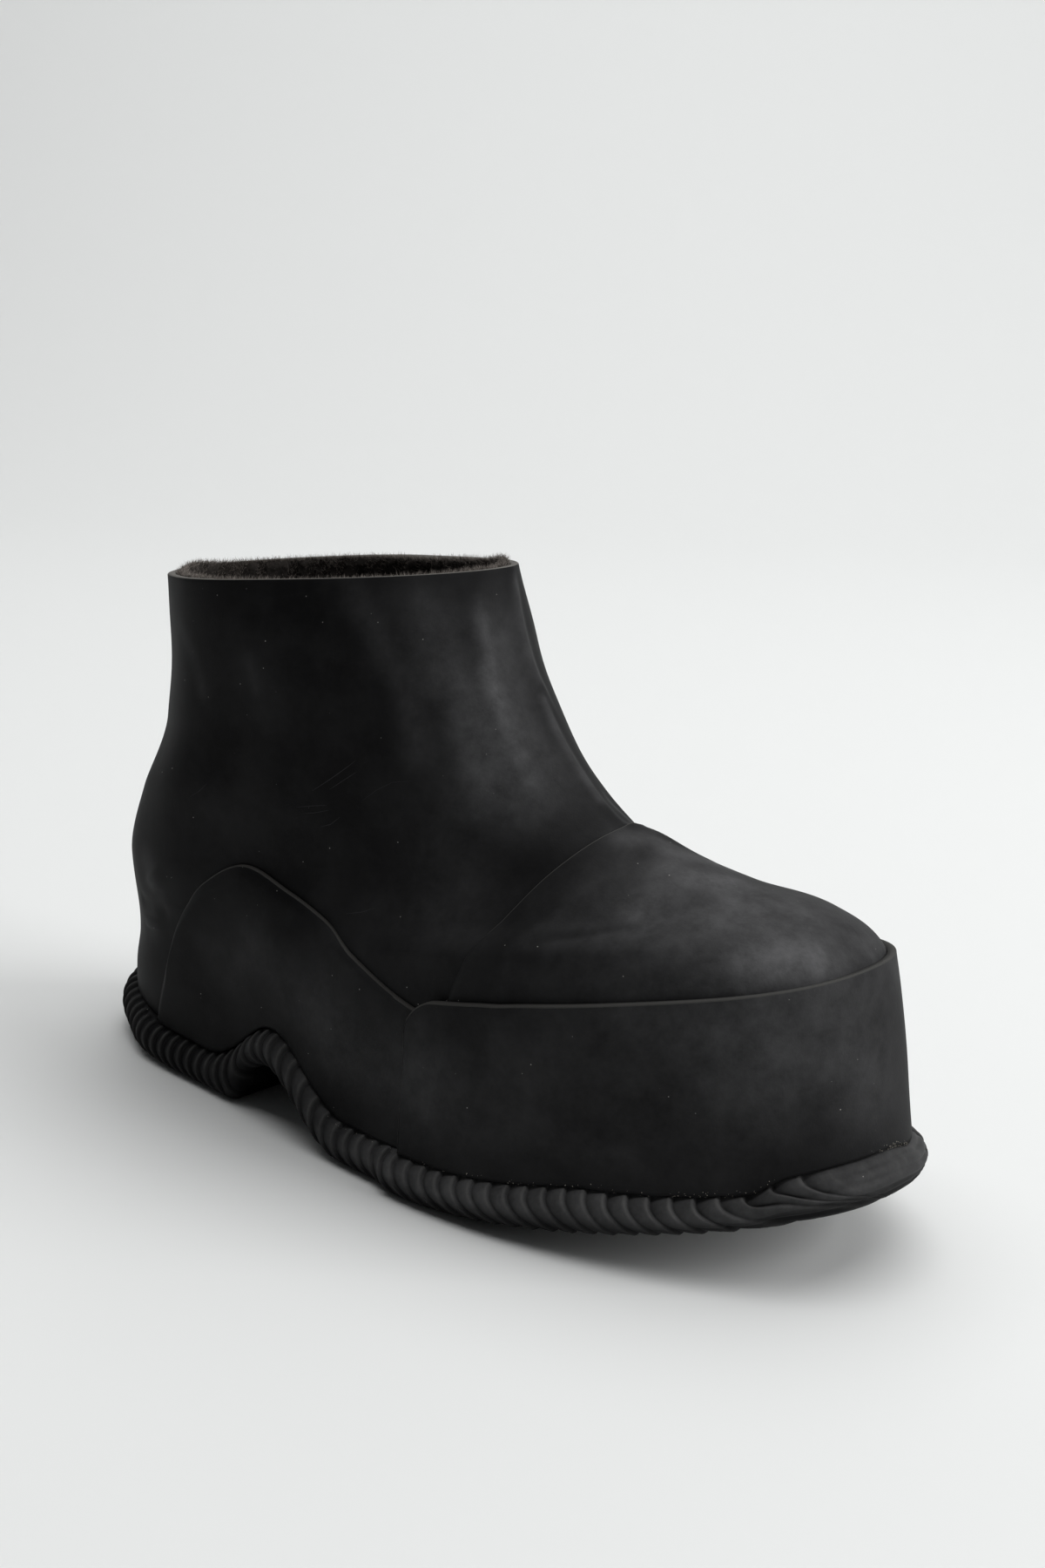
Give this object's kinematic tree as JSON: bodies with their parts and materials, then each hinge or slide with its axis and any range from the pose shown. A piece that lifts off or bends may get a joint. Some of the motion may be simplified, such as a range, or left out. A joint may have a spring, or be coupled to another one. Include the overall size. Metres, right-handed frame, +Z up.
{
  "type": "rubber ankle boot",
  "caption": "Pull-on black rubber ankle boot, right foot, with a hollow upper, side panels, toe cap, tall toe band and a thick ridged sole rim over a raised arched sole.",
  "frame": {"origin": "on the floor, under the middle of the boot's overall length and width", "axes": "+X from heel to toe, +Y to the wearer's left, which is the inner side of this right boot, +Z up out of the collar"},
  "size_m": [0.2917, 0.1122, 0.1731],
  "materials": {
    "upper_rubber": "matte natural rubber sheet with a faint grey bloom",
    "overlay_rubber": "matte natural rubber sheet with a faint grey bloom",
    "sole_rubber": "matte moulded rubber, dusty in the grooves",
    "pile": "short dark wool pile"
  },
  "bodies": {
    "root": {"upper": "upper_rubber", "toe_cap": "overlay_rubber", "side_panel_lateral": "overlay_rubber", "side_panel_medial": "overlay_rubber", "toe_band": "overlay_rubber", "outsole": "sole_rubber", "insole": "pile"}
  },
  "joints": []
}
